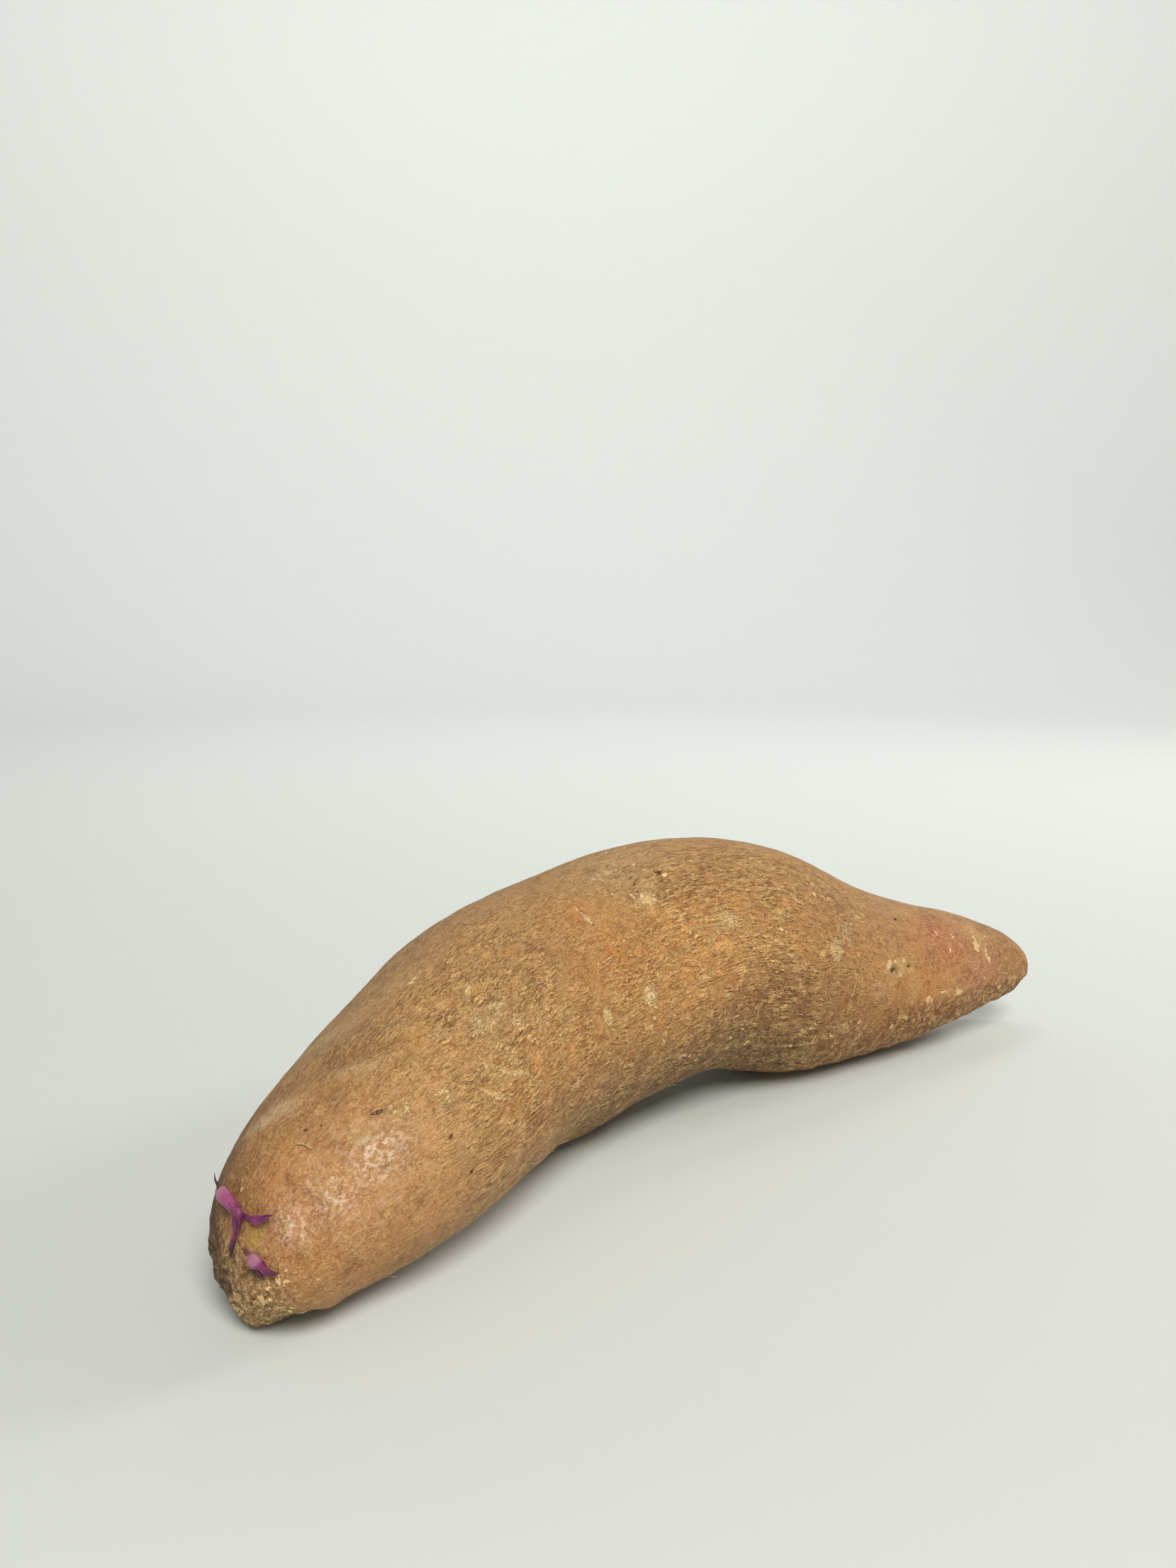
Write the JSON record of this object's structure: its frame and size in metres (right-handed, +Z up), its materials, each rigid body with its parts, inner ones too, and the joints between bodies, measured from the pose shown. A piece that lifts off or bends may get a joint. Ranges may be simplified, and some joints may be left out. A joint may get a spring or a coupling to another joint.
{
  "type": "sweet potato",
  "caption": "Curved sprouting sweet potato lying on its side: a spindle root with a raised hump, a tapering tail and small purple shoots at the crown.",
  "frame": {"origin": "on the surface that the root rests on, below the middle of the whole object's box", "axes": "+Z up; +X from the crown's side towards the tail tip; +Y from the crown towards the hump and tail"},
  "size_m": [0.1686, 0.138, 0.0559],
  "materials": {
    "root_skin": "dry orange-tan skin, finely wrinkled and dusty",
    "shoot_stalk": "smooth pink-mauve stalk",
    "shoot_leaf": "smooth deep purple leaf",
    "shoot_scale": "dark dried scale"
  },
  "bodies": {
    "root": {"storage_root": "root_skin", "large_shoot_stem": "shoot_stalk", "large_shoot_right_leaf": "shoot_leaf", "large_shoot_lower_leaf": "shoot_leaf", "large_shoot_back_spike": "shoot_scale", "small_shoot_bud": "shoot_stalk", "small_shoot_right_leaf": "shoot_leaf", "small_shoot_spike": "shoot_leaf", "small_shoot_lower_leaf": "shoot_scale"}
  },
  "joints": []
}
